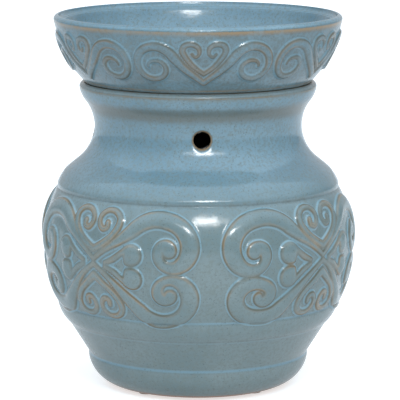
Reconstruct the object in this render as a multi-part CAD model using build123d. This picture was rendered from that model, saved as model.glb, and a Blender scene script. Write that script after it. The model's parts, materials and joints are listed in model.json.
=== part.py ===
"""Ceramic wax melt warmer: a lift-off melt dish on a vase-shaped body with a bulb inside.

Millimetres, +Z up, the vent over the front gap of the ornament faces -Y.
The origin is on the table, at the axis of the body.
"""
from build123d import *
import math
import os

# Body, heights: the part under the belly from the foot upwards, the part above it from the rim downwards
PAD_HEIGHT = 0.8
BODY_HEIGHT = 136.8
FOOT_BAND_HEIGHT = 13.4
FOOT_CREASE_HEIGHT = 0.8
CONE_HEIGHT = 16.0
CONE_STEP_HEIGHT = 0.6
MOULDING_HEIGHT = 6.9
LEDGE_HEIGHT = 0.7
BELLY_UPPER_HEIGHT = 22.0
GROOVE_HEIGHT = 1.4
SHOULDER_HEIGHT = 7.1
SHOULDER_TO_WAIST = 19.9
WAIST_TO_RIM = 19.4

# Body, outside radii
FOOT_R = 38.0
FOOT_BAND_R = 49.7
FOOT_CREASE_DEPTH = 0.5
BELLY_R = 69.3
BELLY_LOWER_ARC_R = 67.1
BELLY_UPPER_ARC_R = 45.2
LEDGE_WIDTH = 0.6
MOULDING_LEAN = 15.0
MOULDING_RUN = 3.6
CONE_STEP_DEPTH = 0.6
SHOULDER_STEP = 0.3
GROOVE_DEPTH = 0.7
SHOULDER_ROLL = 3.9
WAIST_R = 46.6
NECK_LOWER_ARC_R = 20.0
NECK_LOWER_ANGLE = 52.0
NECK_UPPER_ARC_R = 18.0
NECK_UPPER_ANGLE = 39.0
LIP_FLARE = 6.6
LIP_EDGE_R = 2.0

# Body, inside
WALL = 5.0
FLOOR_THICKNESS = 5.0
FOOT_RECESS = 7.0
FOOT_RING_WIDTH = 9.0
MOUTH_FLARE = 4.6
FLOOR_HOLE_R = 5.5

# Vent holes through the neck
VENT_R = 3.75
VENT_COUNT = 4
VENT_BELOW_WAIST = 1.4

# Melt dish
DISH_HEIGHT = 30.0
DISH_BASE_STEP = 1.6
DISH_BASE_EDGE = 1.2
DISH_SIDE_HEIGHT = 22.6
DISH_SIDE_R = 63.2
DISH_SIDE_ARC_R = 46.0
DISH_LIP_R = 64.5
DISH_LIP_WIDTH = 4.6
DISH_INNER_LEAN = 8.0
DISH_WALL = 6.6
BOWL_FLOOR_RISE = 2.0
BOWL_KNEE_RISE = 1.7
BOWL_KNEE_RUN = 5.0
SPIGOT_DEPTH = 5.0
SPIGOT_CLEARANCE = 2.0
SPIGOT_CHAMFER = 1.0
SPIGOT_RING_WIDTH = 7.0
DISH_RECESS = 1.6

# Fixings through the floor
CUSHION_THICKNESS = 1.0
CUSHION_R = 11.0
WASHER_THICKNESS = 1.2
WASHER_R = 10.0
NUT_ACROSS_FLATS = 14.0
NUT_HEIGHT = 3.5
NIPPLE_R = 4.9
NIPPLE_BORE_R = 3.6
NIPPLE_END = 0.8
THREAD_CLEARANCE = 0.05
WASHER_CLEARANCE = 0.3

# Lamp holder
STRAP_THICKNESS = 1.5
STRAP_WIDTH = 12.0
STRAP_BEND_R = 2.0
BRACKET_HEIGHT = 13.0
BRACKET_TAB = 5.0
HOLDER_R = 10.5
HOLDER_BASE_HEIGHT = 8.0
HOLDER_FLAT = 9.8
HOLDER_FLAT_MARGIN = 0.8
HOLDER_EDGE = 0.8
SHELL_HEIGHT = 17.5
SHELL_THICKNESS = 0.5
SHELL_LIP = 1.4
SHELL_FIT = 0.1
SCREW_FIT = 0.25
LEAF_THICKNESS = 0.4
LEAF_WIDTH = 3.0
LEAF_SPAN = 3.6
LEAF_HEIGHT = 3.0
RIVET_R = 1.4
RIVET_HEAD_R = 2.4
RIVET_HEAD_HEIGHT = 1.2
RIVET_DEPTH = 4.0
TERMINAL_R = 1.5
TERMINAL_HEAD_R = 3.0
TERMINAL_HEAD_HEIGHT = 1.6
TERMINAL_DEPTH = 4.0
TERMINAL_SLOT = 0.7
PIN_CLEARANCE = 0.05

# Bulb
CAP_R = 5.95
CAP_SHEET = 0.5
CAP_HEIGHT = 14.5
TIP_R = 2.2
TIP_HEIGHT = 1.2
INSULATOR_R = 3.0
INSULATOR_HEIGHT = 2.8
INSULATOR_DISC = 1.5
CAP_LIP = 1.45
GLASS_FIT = 0.25
GLASS_THICKNESS = 0.7
GLASS_INSERT = 6.0
NECK_ABOVE_CAP = 2.8
GLASS_FLARE_R = 8.0
GLOBE_R = 25.0
STEM_FLANGE = 0.8
STEM_R = 2.4
STEM_HEIGHT = 22.0
WIRE_R = 0.4
WIRE_SPREAD = 8.0
WIRE_RISE = 16.0
WIRE_PITCH = 1.2
FILAMENT_R = 0.3
FILAMENT_SAG = 3.0

# Cord grommet in the cone at the back
GROMMET_RISE = 7.8
GROMMET_BORE_R = 3.2
GROMMET_NECK_R = 4.8
GROMMET_FLANGE_R = 7.0
GROMMET_FLANGE = 1.8
GROMMET_SPOT_DEPTH = 0.7
GROMMET_CLEARANCE = 0.2

# Foot pads
PAD_R = 3.5
PAD_COUNT = 4

# Embossed ornament: its height, the depth of its root in the wall, and its distance from the mouldings
RELIEF_HEIGHT = 1.2
RELIEF_ROOT = 0.8
RELIEF_MARGIN = 1.0
RELIEF_BANDS = 3
STEM_STEPS = 4
STEM_PULL = 0.42
COIL_STEPS = 2

# Medallions of the belly, drawn flat about their middle; the front gap is a little right of the vent
MEDALLION_COUNT = 4
MEDALLION_TURN = 2.0
MEDALLION_DROP = 3.5
MEDALLION_FLAT_R = 69.0

# Scrolls: where the stem starts, its half width and heading there, the eye of the coil, the bearing where
# the stem meets the coil, which way the coil turns, and a radius and a half width for each quarter turn
RIGHT_UPPER_SCROLL = ((0.0, 0.8), 1.8, 40.0, (35.8, 7.8), 150.0, -1,
                      (18.0, 13.4, 9.9, 6.3, 4.5, 3.5), (3.4, 3.7, 4.5, 2.9, 2.7, 2.0))
RIGHT_LOWER_SCROLL = ((0.0, -1.6), 1.9, -15.0, (35.8, -11.2), -150.0, 1,
                      (15.6, 11.8, 9.9, 6.9, 4.9, 3.3), (3.9, 3.4, 4.7, 2.7, 2.8, 2.0))
LEFT_UPPER_SCROLL = ((0.0, 0.8), 1.8, 140.0, (-33.1, 7.0), 30.0, 1,
                     (19.0, 14.3, 11.9, 7.0, 4.6, 3.4), (3.6, 4.0, 4.3, 3.3, 2.3, 2.0))
LEFT_LOWER_SCROLL = ((0.0, -1.6), 1.9, 195.0, (-31.3, -13.0), -30.0, -1,
                     (12.2, 9.3, 11.0, 6.6, 5.2, 2.9), (4.0, 3.5, 5.2, 2.9, 2.7, 1.5))
HEART_SCROLL = ((0.0, 5.4), 1.9, 42.0, (6.9, 17.8), -60.0, 1, (5.2, 7.8, 6.0, 4.3), (1.9, 1.9, 1.5, 1.2))

# Small heart on its side in each half of a medallion
SIDE_HEART_TIP = 10.4
SIDE_HEART_TIP_R = 0.9
SIDE_HEART_LOBE = (19.2, 4.7)
SIDE_HEART_LOBE_R = 4.3
SIDE_HEART_LEFT = 0.9

# Hearts and coils of the dish, drawn flat from the foot of its side
DISH_HEART_COUNT = 6
DISH_FLAT_R = 61.0
DISH_RELIEF_HEIGHT = 1.0
DISH_SCROLL = ((0.0, 6.0), 2.2, 40.0, (21.8, 14.4), 165.0, -1,
               (11.2, 9.2, 7.6, 6.2, 5.0, 3.3), (2.5, 2.1, 2.0, 1.6, 1.4, 1.1))
DISH_HEART_SCROLL = ((0.0, 11.4), 1.3, 42.0, (5.0, 21.0), -30.0, 1, (3.0, 2.9, 2.8), (1.3, 1.3, 1.2))

# Levels that the pieces share
foot_z = PAD_HEIGHT
band_z = foot_z + FOOT_BAND_HEIGHT
crease_z = band_z + FOOT_CREASE_HEIGHT
cone_top_z = crease_z + CONE_HEIGHT
moulding_z = cone_top_z + CONE_STEP_HEIGHT
ledge_z = moulding_z + MOULDING_HEIGHT
belly_low_z = ledge_z + LEDGE_HEIGHT
rim_z = foot_z + BODY_HEIGHT
waist_z = rim_z - WAIST_TO_RIM
roll_z = waist_z - SHOULDER_TO_WAIST
shoulder_z = roll_z - SHOULDER_HEIGHT
belly_top_z = shoulder_z - GROOVE_HEIGHT
belly_z = belly_top_z - BELLY_UPPER_HEIGHT
floor_low_z = foot_z + FOOT_RECESS
floor_z = floor_low_z + FLOOR_THICKNESS

# Radii that the pieces share
rim_r = WAIST_R + LIP_FLARE
mouth_r = WAIST_R - WALL + MOUTH_FLARE
recess_r = FOOT_R - FOOT_RING_WIDTH
spigot_r = mouth_r - SPIGOT_CLEARANCE

# Levels of the lamp, from the floor of the body upwards
washer_z = floor_z + CUSHION_THICKNESS
plate_z = washer_z + WASHER_THICKNESS
upper_nut_z = plate_z + STRAP_THICKNESS
holder_z = plate_z + BRACKET_HEIGHT
socket_z = holder_z + HOLDER_BASE_HEIGHT
contact_z = socket_z + LEAF_HEIGHT
cap_z = contact_z + TIP_HEIGHT + INSULATOR_HEIGHT - CAP_SHEET
cap_top_z = cap_z + CAP_HEIGHT
lower_nut_z = floor_low_z - CUSHION_THICKNESS - WASHER_THICKNESS - NUT_HEIGHT


def polar(centre, radius, angle):
    """Point on a circle in the (radius, height) plane, angle in degrees from outwards."""
    turn = math.radians(angle)
    return (centre[0] + radius * math.cos(turn), centre[1] + radius * math.sin(turn))


def unit_from_vertical(angle):
    """Direction upwards that leans outwards by an angle in degrees."""
    turn = math.radians(angle)
    return (math.sin(turn), math.cos(turn))


def turned(edges):
    """Solid of revolution of a closed outline in the (radius, height) plane."""
    return revolve(Plane.XZ * make_face(edges), Axis.Z)


def ring(outer, inner, low, height):
    """Flat ring about the Z axis."""
    face = Circle(outer) - Circle(inner)
    return extrude(Pos(0, 0, low) * face, height)


def around(shape, count, first=0.0):
    """Copies of a shape turned about the Z axis."""
    return [Rot(0, 0, first + 360.0 / count * i) * shape for i in range(count)]


# Arcs of the belly and the neck, shared by the outside and the inside of the wall
lower_centre = (BELLY_R - BELLY_LOWER_ARC_R, belly_z)
upper_centre = (BELLY_R - BELLY_UPPER_ARC_R, belly_z)
lower_angle = -math.degrees(math.asin((belly_z - belly_low_z) / BELLY_LOWER_ARC_R))
upper_angle = math.degrees(math.asin(BELLY_UPPER_HEIGHT / BELLY_UPPER_ARC_R))
neck_low_centre = (WAIST_R + NECK_LOWER_ARC_R, waist_z)
neck_high_centre = (WAIST_R + NECK_UPPER_ARC_R, waist_z)

# Corners of the outside
belly_low = polar(lower_centre, BELLY_LOWER_ARC_R, lower_angle)
belly_top = polar(upper_centre, BELLY_UPPER_ARC_R, upper_angle)
ledge_r = belly_low[0] + LEDGE_WIDTH
moulding_low_r = ledge_r - MOULDING_RUN
cone_top_r = moulding_low_r - CONE_STEP_DEPTH
cone_low_r = FOOT_BAND_R - FOOT_CREASE_DEPTH
shoulder_r = belly_top[0] - SHOULDER_STEP
neck_low = polar(neck_low_centre, NECK_LOWER_ARC_R, 180.0 + NECK_LOWER_ANGLE)
neck_high = polar(neck_high_centre, NECK_UPPER_ARC_R, 180.0 - NECK_UPPER_ANGLE)
roll = (shoulder_r - SHOULDER_ROLL, roll_z)

# Corners of the inside
inner_low = polar(lower_centre, BELLY_LOWER_ARC_R - WALL, lower_angle)
inner_top = polar(upper_centre, BELLY_UPPER_ARC_R - WALL, upper_angle)
inner_neck_low = polar(neck_low_centre, NECK_LOWER_ARC_R + WALL, 180.0 + NECK_LOWER_ANGLE)
inner_flare_r = NECK_UPPER_ARC_R + WALL
inner_flare_angle = math.degrees(math.acos((inner_flare_r - MOUTH_FLARE) / inner_flare_r))
inner_mouth = polar(neck_high_centre, inner_flare_r, 180.0 - inner_flare_angle)
cone_slope = math.degrees(math.atan2(cone_top_r - cone_low_r, CONE_HEIGHT))
inner_floor_r = cone_low_r - WALL / math.cos(math.radians(cone_slope))


def body_outside():
    """Edges of the body's outside, from the foot up to the rim."""
    foot_mid = polar((FOOT_R, band_z), FOOT_BAND_R - FOOT_R, -45.0)
    flank = (roll[0] - neck_low[0], roll[1] - neck_low[1])
    return [
        ThreePointArc((FOOT_R, foot_z), foot_mid, (FOOT_BAND_R, band_z)),
        Line((FOOT_BAND_R, band_z), (cone_low_r, crease_z)),
        Line((cone_low_r, crease_z), (cone_top_r, cone_top_z)),
        Line((cone_top_r, cone_top_z), (moulding_low_r, moulding_z)),
        TangentArc((ledge_r, ledge_z), (moulding_low_r, moulding_z),
                   tangent=[-c for c in unit_from_vertical(MOULDING_LEAN)]),
        Line((ledge_r, ledge_z), belly_low),
        ThreePointArc(belly_low, polar(lower_centre, BELLY_LOWER_ARC_R, lower_angle / 2),
                      (BELLY_R, belly_z)),
        ThreePointArc((BELLY_R, belly_z), polar(upper_centre, BELLY_UPPER_ARC_R, upper_angle / 2),
                      belly_top),
        Line(belly_top, (belly_top[0] - GROOVE_DEPTH, belly_top_z + GROOVE_HEIGHT / 2)),
        Line((belly_top[0] - GROOVE_DEPTH, belly_top_z + GROOVE_HEIGHT / 2), (shoulder_r, shoulder_z)),
        TangentArc(roll, (shoulder_r, shoulder_z), tangent=flank),
        Line(roll, neck_low),
        ThreePointArc(neck_low, polar(neck_low_centre, NECK_LOWER_ARC_R, 180.0 + NECK_LOWER_ANGLE / 2),
                      (WAIST_R, waist_z)),
        ThreePointArc((WAIST_R, waist_z),
                      polar(neck_high_centre, NECK_UPPER_ARC_R, 180.0 - NECK_UPPER_ANGLE / 2),
                      neck_high),
        TangentArc(neck_high, (rim_r, rim_z - LIP_EDGE_R), tangent=unit_from_vertical(NECK_UPPER_ANGLE)),
        ThreePointArc((rim_r, rim_z - LIP_EDGE_R),
                      polar((rim_r - LIP_EDGE_R, rim_z - LIP_EDGE_R), LIP_EDGE_R, 45.0),
                      (rim_r - LIP_EDGE_R, rim_z)),
    ]


def body_inside():
    """Edges from the rim down the inside of the body and round the floor back to the foot."""
    return [
        Line((rim_r - LIP_EDGE_R, rim_z), (mouth_r, rim_z)),
        Line((mouth_r, rim_z), inner_mouth),
        ThreePointArc(inner_mouth, polar(neck_high_centre, inner_flare_r, 180.0 - inner_flare_angle / 2),
                      (WAIST_R - WALL, waist_z)),
        ThreePointArc((WAIST_R - WALL, waist_z),
                      polar(neck_low_centre, NECK_LOWER_ARC_R + WALL, 180.0 + NECK_LOWER_ANGLE / 2),
                      inner_neck_low),
        Line(inner_neck_low, inner_top),
        ThreePointArc(inner_top, polar(upper_centre, BELLY_UPPER_ARC_R - WALL, upper_angle / 2),
                      (BELLY_R - WALL, belly_z)),
        ThreePointArc((BELLY_R - WALL, belly_z),
                      polar(lower_centre, BELLY_LOWER_ARC_R - WALL, lower_angle / 2),
                      inner_low),
        Line(inner_low, (inner_floor_r, floor_z)),
        Line((inner_floor_r, floor_z), (FLOOR_HOLE_R, floor_z)),
        Line((FLOOR_HOLE_R, floor_z), (FLOOR_HOLE_R, floor_low_z)),
        Line((FLOOR_HOLE_R, floor_low_z), (recess_r, floor_low_z)),
        Line((recess_r, floor_low_z), (recess_r, foot_z)),
        Line((recess_r, foot_z), (FOOT_R, foot_z)),
    ]


def grommet_plane():
    """Plane on the cone at the back, with its normal pointing out of the wall."""
    rise = GROMMET_RISE / CONE_HEIGHT
    radius = cone_low_r + (cone_top_r - cone_low_r) * rise
    lean = math.radians(cone_slope)
    return Plane(origin=(0, radius, crease_z + GROMMET_RISE), x_dir=(1, 0, 0),
                 z_dir=(0, math.cos(lean), -math.sin(lean)))


def grommet_grip(plane):
    """Thickness of the wall left between the two spot faces under the grommet's flanges."""
    run = (inner_low[0] - inner_floor_r, inner_low[1] - floor_z)
    across = (run[1], -run[0])
    start = (plane.origin.Y - inner_floor_r, plane.origin.Z - floor_z)
    out = (plane.z_dir.Y, plane.z_dir.Z)
    wall = (start[0] * across[0] + start[1] * across[1]) / (out[0] * across[0] + out[1] * across[1])
    return wall - 2 * GROMMET_SPOT_DEPTH


def between(values, place):
    """Value at a fractional place in a row of values."""
    i = min(int(place), len(values) - 2)
    return values[i] + (values[i + 1] - values[i]) * (place - i)


def scroll(tip, tip_width, heading, eye, first, hand, radii, widths):
    """Stations (along, up, half width) of a stem that runs from its tip into a coil round the eye."""
    quarters = len(radii) - 1
    opening = first % 90.0 if hand < 0 else 90.0 - first % 90.0
    angles = [first] + [first + hand * (opening + 90.0 * i) for i in range(quarters)]
    logs = [math.log(radius) for radius in radii]
    coil = []
    for i in range(COIL_STEPS * quarters + 1):
        place = i / COIL_STEPS
        point = polar(eye, math.exp(between(logs, place)), between(angles, place))
        coil.append(point + (between(widths, place),))
    start = Vector(*tip)
    end = Vector(*coil[0][:2])
    pull = STEM_PULL * (end - start).length
    tangent = Vector(*polar((0, 0), 1.0, first + hand * 90.0))
    chord = (Vector(*coil[1][:2]) - end).normalized()
    leave = start + Vector(*polar((0, 0), pull, heading))
    arrive = end - (tangent + chord).normalized() * pull
    curve = Bezier(start, leave, arrive, end)
    stem = []
    for i in range(STEM_STEPS):
        t = i / STEM_STEPS
        point = curve @ t
        stem.append((point.X, point.Y, tip_width + (widths[0] - tip_width) * t * t))
    return stem + coil


def mirrored(stations, along=1, up=1):
    """Stations of a band mirrored along or up."""
    return [(along * x, up * y, width) for x, y, width in stations]


def band(stations, lay):
    """Face of a band through its stations, laid on the wall by a function of along and up."""
    left = []
    right = []
    for i, (x, y, width) in enumerate(stations):
        before = stations[max(i - 1, 0)]
        after = stations[min(i + 1, len(stations) - 1)]
        run = Vector(after[0] - before[0], after[1] - before[1]).normalized()
        left.append(lay(x - run.Y * width, y + run.X * width))
        right.append(lay(x + run.Y * width, y - run.X * width))
    end = Line(left[-1], right[-1])
    start = Line(right[0], left[0])
    return make_face([Spline(*left), end, Spline(*reversed(right)), start])


def side_heart(stretch):
    """Halves of a heart on its side, each the hull of a small circle at the tip and a large one at the end."""
    lobe_along, lobe_up = SIDE_HEART_LOBE
    halves = []
    for up in (1, -1):
        tip = Pos(*on_belly(SIDE_HEART_TIP * stretch, 0)) * Circle(SIDE_HEART_TIP_R)
        lobe = Pos(*on_belly(lobe_along * stretch, up * lobe_up)) * Circle(SIDE_HEART_LOBE_R)
        halves.append(make_hull(tip.edges() + lobe.edges()))
    return halves


def conical_skin(arcs, height):
    """Skin over a wall that is turned from arcs (centre, radius, angles), in a few conical bands."""
    rows = []
    for lift in (height, -RELIEF_ROOT):
        points = []
        for centre, radius, start, end in arcs:
            steps = [start + (end - start) * i / RELIEF_BANDS for i in range(RELIEF_BANDS + 1)]
            points += [polar(centre, radius + lift, angle) for angle in steps[bool(points):]]
        rows.append(points)
    corners = rows[0] + rows[1][::-1]
    return turned([Line(a, b) for a, b in zip(corners, corners[1:] + corners[:1])])


def embossed(faces, skin):
    """Relief under flat faces that are pushed outwards to the front and kept to a skin of the wall."""
    drawing = faces[0]
    for face in faces[1:]:
        drawing += face
    return extrude(Plane.XZ * drawing, BELLY_R + WALL) & skin


def on_belly(along, up):
    """Place of a medallion's point on the drawing of the belly as seen from its front."""
    z = belly_z - MEDALLION_DROP + up
    arc_r = BELLY_LOWER_ARC_R if z < belly_z else BELLY_UPPER_ARC_R
    radius = BELLY_R - arc_r + math.sqrt(arc_r ** 2 - (z - belly_z) ** 2)
    return (radius * math.sin(along / MEDALLION_FLAT_R), z)


def medallion():
    """Relief of one medallion, facing front: four scrolls, two hearts on their sides and two upright."""
    scrolls = (RIGHT_UPPER_SCROLL, RIGHT_LOWER_SCROLL, LEFT_UPPER_SCROLL, LEFT_LOWER_SCROLL)
    faces = [band(scroll(*values), on_belly) for values in scrolls]
    lobe = scroll(*HEART_SCROLL)
    faces += [band(mirrored(lobe, along, up), on_belly) for along in (1, -1) for up in (1, -1)]
    faces += side_heart(1.0) + side_heart(-SIDE_HEART_LEFT)
    low = lower_angle + math.degrees(RELIEF_MARGIN / BELLY_LOWER_ARC_R)
    high = upper_angle - math.degrees(RELIEF_MARGIN / BELLY_UPPER_ARC_R)
    arcs = [(lower_centre, BELLY_LOWER_ARC_R, low, 0.0), (upper_centre, BELLY_UPPER_ARC_R, 0.0, high)]
    return embossed(faces, conical_skin(arcs, RELIEF_HEIGHT))


def warmer_body():
    """Turned body with embossed medallions, vents in the neck and the cord hole with its spot faces."""
    body = turned(body_outside() + body_inside())
    body += around(medallion(), MEDALLION_COUNT, MEDALLION_TURN + 180.0 / MEDALLION_COUNT)
    vent_z = waist_z - VENT_BELOW_WAIST
    vent = Pos(0, -WAIST_R, vent_z) * Rot(90, 0, 0) * Cylinder(VENT_R, 4 * WALL)
    plane = grommet_plane()
    grip = grommet_grip(plane)
    hole = Cylinder(GROMMET_NECK_R + GROMMET_CLEARANCE, 6 * WALL)
    spot_r = GROMMET_FLANGE_R + GROMMET_CLEARANCE
    bottom = (Align.CENTER, Align.CENTER, Align.MIN)
    top = (Align.CENTER, Align.CENTER, Align.MAX)
    outer_spot = Pos(0, 0, -GROMMET_SPOT_DEPTH) * Cylinder(spot_r, WALL, align=bottom)
    inner_spot = Pos(0, 0, -GROMMET_SPOT_DEPTH - grip) * Cylinder(spot_r, WALL, align=top)
    cuts = around(vent, VENT_COUNT)
    cuts += [plane * hole, plane * outer_spot, plane * inner_spot]
    return body - cuts


# Arc of the dish's side, from its foot on the rim up to the lip
dish_foot = (rim_r - DISH_BASE_STEP, rim_z + DISH_BASE_EDGE)
dish_side = (DISH_SIDE_R, rim_z + DISH_SIDE_HEIGHT)
dish_chord = Vector(dish_side[0] - dish_foot[0], dish_side[1] - dish_foot[1])
dish_sink = math.sqrt(DISH_SIDE_ARC_R ** 2 - dish_chord.length ** 2 / 4) / dish_chord.length
dish_centre = ((dish_foot[0] + dish_side[0]) / 2 - dish_chord.Y * dish_sink,
               (dish_foot[1] + dish_side[1]) / 2 + dish_chord.X * dish_sink)
dish_foot_angle = math.degrees(math.atan2(dish_foot[1] - dish_centre[1], dish_foot[0] - dish_centre[0]))
dish_side_angle = math.degrees(math.atan2(dish_side[1] - dish_centre[1], dish_side[0] - dish_centre[0]))


def on_dish(along, up):
    """Place of an ornament's point on the drawing of the dish as seen from its front."""
    radius, z = polar(dish_centre, DISH_SIDE_ARC_R, dish_foot_angle + math.degrees(up / DISH_SIDE_ARC_R))
    return (radius * math.sin(along / DISH_FLAT_R), z)


def dish_ornament():
    """Relief of one sixth of the dish, facing front: a heart and a coil on each side of it."""
    faces = []
    for values in (DISH_SCROLL, DISH_HEART_SCROLL):
        faces += [band(mirrored(scroll(*values), along), on_dish) for along in (1, -1)]
    margin = math.degrees(RELIEF_MARGIN / DISH_SIDE_ARC_R)
    arcs = [(dish_centre, DISH_SIDE_ARC_R, dish_foot_angle + margin, dish_side_angle)]
    return embossed(faces, conical_skin(arcs, DISH_RELIEF_HEIGHT))


def melt_dish():
    """Turned dish with an embossed side, a spigot that drops into the mouth and a round lip."""
    low_z = rim_z - SPIGOT_DEPTH
    base_r, base_z = dish_foot
    half_lip = DISH_LIP_WIDTH / 2
    lip_z = rim_z + DISH_HEIGHT - half_lip
    inner_r = DISH_LIP_R - DISH_LIP_WIDTH
    bowl_z = rim_z + BOWL_FLOOR_RISE
    knee = (base_r - DISH_WALL, bowl_z + BOWL_KNEE_RISE)
    ring_r = spigot_r - SPIGOT_RING_WIDTH
    slope = [-c for c in unit_from_vertical(DISH_INNER_LEAN)]
    wall = TangentArc((inner_r, lip_z), knee, tangent=slope)
    side_mid = polar(dish_centre, DISH_SIDE_ARC_R, (dish_foot_angle + dish_side_angle) / 2)
    edges = [
        Line((0, low_z + DISH_RECESS), (ring_r, low_z + DISH_RECESS)),
        Line((ring_r, low_z + DISH_RECESS), (ring_r, low_z)),
        Line((ring_r, low_z), (spigot_r - SPIGOT_CHAMFER, low_z)),
        Line((spigot_r - SPIGOT_CHAMFER, low_z), (spigot_r, low_z + SPIGOT_CHAMFER)),
        Line((spigot_r, low_z + SPIGOT_CHAMFER), (spigot_r, rim_z)),
        Line((spigot_r, rim_z), (base_r - DISH_BASE_EDGE, rim_z)),
        ThreePointArc((base_r - DISH_BASE_EDGE, rim_z),
                      polar((base_r - DISH_BASE_EDGE, base_z), DISH_BASE_EDGE, -45.0), (base_r, base_z)),
        ThreePointArc(dish_foot, side_mid, dish_side),
        Line(dish_side, (DISH_LIP_R, lip_z)),
        ThreePointArc((DISH_LIP_R, lip_z), (DISH_LIP_R - half_lip, lip_z + half_lip), (inner_r, lip_z)),
        wall,
        TangentArc(knee, (knee[0] - BOWL_KNEE_RUN, bowl_z), tangent=wall % 1),
        Line((knee[0] - BOWL_KNEE_RUN, bowl_z), (0, bowl_z)),
        Line((0, bowl_z), (0, low_z + DISH_RECESS)),
    ]
    return turned(edges) + around(dish_ornament(), DISH_HEART_COUNT, MEDALLION_TURN)


def cushion_washers():
    """Soft washers above and below the floor."""
    hole = NIPPLE_R + WASHER_CLEARANCE
    return [ring(CUSHION_R, hole, z, CUSHION_THICKNESS) for z in (floor_z, floor_low_z - CUSHION_THICKNESS)]


def steel_washers():
    """Steel washers on the soft ones."""
    hole = NIPPLE_R + WASHER_CLEARANCE
    lower = floor_low_z - CUSHION_THICKNESS - WASHER_THICKNESS
    return [ring(WASHER_R, hole, z, WASHER_THICKNESS) for z in (washer_z, lower)]


def lock_nuts():
    """Thin hexagon nuts, one on the bracket's plate and one under the floor."""
    face = RegularPolygon(NUT_ACROSS_FLATS / 2, 6, major_radius=False) - Circle(NIPPLE_R + THREAD_CLEARANCE)
    return [extrude(Pos(0, 0, z) * face, NUT_HEIGHT) for z in (upper_nut_z, lower_nut_z)]


def threaded_nipple():
    """Hollow threaded tube that clamps the bracket to the floor and passes the leads."""
    low = lower_nut_z - NIPPLE_END
    return ring(NIPPLE_R, NIPPLE_BORE_R, low, upper_nut_z + NUT_HEIGHT + NIPPLE_END - low)


def rivet_places():
    """Places of the two rivets on the bracket's tabs."""
    reach = HOLDER_R - STRAP_THICKNESS - BRACKET_TAB / 2
    return [Pos(side * reach, 0, holder_z) for side in (-1, 1)]


def holder_bracket():
    """Strap bent to a U with inward tabs under the lamp holder."""
    span = 2 * HOLDER_R
    gap = span - 2 * (STRAP_THICKNESS + BRACKET_TAB)
    middle = BRACKET_HEIGHT / 2
    outer = RectangleRounded(span, BRACKET_HEIGHT, STRAP_BEND_R)
    inner = Rectangle(span - 2 * STRAP_THICKNESS, BRACKET_HEIGHT - 2 * STRAP_THICKNESS)
    opening = Pos(0, middle) * Rectangle(gap, BRACKET_HEIGHT)
    strap = extrude(Plane.XZ * (outer - inner - opening), STRAP_WIDTH / 2, both=True)
    strap = Pos(0, 0, plate_z + middle) * strap
    holes = [Pos(0, 0, plate_z) * Cylinder(NIPPLE_R + THREAD_CLEARANCE, BRACKET_HEIGHT)]
    holes += [place * Cylinder(RIVET_R + PIN_CLEARANCE, BRACKET_HEIGHT) for place in rivet_places()]
    return strap - holes


def holder_rivets():
    """Rivets from under the tabs into the lamp holder."""
    length = STRAP_THICKNESS + RIVET_DEPTH
    top = (Align.CENTER, Align.CENTER, Align.MAX)
    shank = Pos(0, 0, RIVET_DEPTH) * Cylinder(RIVET_R, length, align=top)
    head = Pos(0, 0, -STRAP_THICKNESS) * Cylinder(RIVET_HEAD_R, RIVET_HEAD_HEIGHT, align=top)
    return [place * (shank + head) for place in rivet_places()]


def terminal_places():
    """Places of the two terminal screws, on the flats of the lamp holder."""
    height = holder_z + HOLDER_BASE_HEIGHT / 2
    return [Rot(0, 0, turn) * Pos(0, -HOLDER_FLAT, height) * Rot(90, 0, 0) for turn in (0, 180)]


def holder_body():
    """Moulded lamp holder with a bore for the screw shell and flats for the terminals."""
    shell_r = CAP_R + SCREW_FIT + SHELL_THICKNESS
    height = HOLDER_BASE_HEIGHT + SHELL_HEIGHT + HOLDER_EDGE
    bottom = (Align.CENTER, Align.CENTER, Align.MIN)
    body = Pos(0, 0, holder_z) * Cylinder(HOLDER_R, height, align=bottom)
    body = chamfer(body.edges().group_by(Axis.Z)[-1], HOLDER_EDGE)
    cuts = [Pos(0, 0, socket_z) * Cylinder(shell_r + SHELL_FIT, height, align=bottom)]
    flat = Box(2 * HOLDER_R, HOLDER_R, HOLDER_BASE_HEIGHT - HOLDER_FLAT_MARGIN,
               align=(Align.CENTER, Align.MAX, Align.MIN))
    cuts += around(Pos(0, -HOLDER_FLAT, holder_z) * flat, 2)
    blind = Cylinder(TERMINAL_R + PIN_CLEARANCE, 2 * TERMINAL_DEPTH + PIN_CLEARANCE)
    cuts += [place * blind for place in terminal_places()]
    rivet_hole = Cylinder(RIVET_R + PIN_CLEARANCE, 2 * (RIVET_DEPTH + PIN_CLEARANCE))
    cuts += [place * rivet_hole for place in rivet_places()]
    return body - cuts


def holder_terminal_screws():
    """Slotted terminal screws that would clamp the leads."""
    top = (Align.CENTER, Align.CENTER, Align.MAX)
    shank = Cylinder(TERMINAL_R, TERMINAL_DEPTH, align=top)
    head = Cylinder(TERMINAL_HEAD_R, TERMINAL_HEAD_HEIGHT, align=(Align.CENTER, Align.CENTER, Align.MIN))
    slot = Pos(0, 0, TERMINAL_HEAD_HEIGHT) * Box(2 * TERMINAL_HEAD_R, TERMINAL_SLOT, TERMINAL_HEAD_HEIGHT)
    return [place * (shank + head - slot) for place in terminal_places()]


def holder_screw_shell():
    """Thin screw shell with a lip that sits on the floor of the holder's bore."""
    inner = CAP_R + SCREW_FIT
    outer = inner + SHELL_THICKNESS
    wall = ring(outer, inner, socket_z, SHELL_HEIGHT)
    return wall + ring(outer, inner - SHELL_LIP, socket_z, SHELL_THICKNESS)


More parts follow.
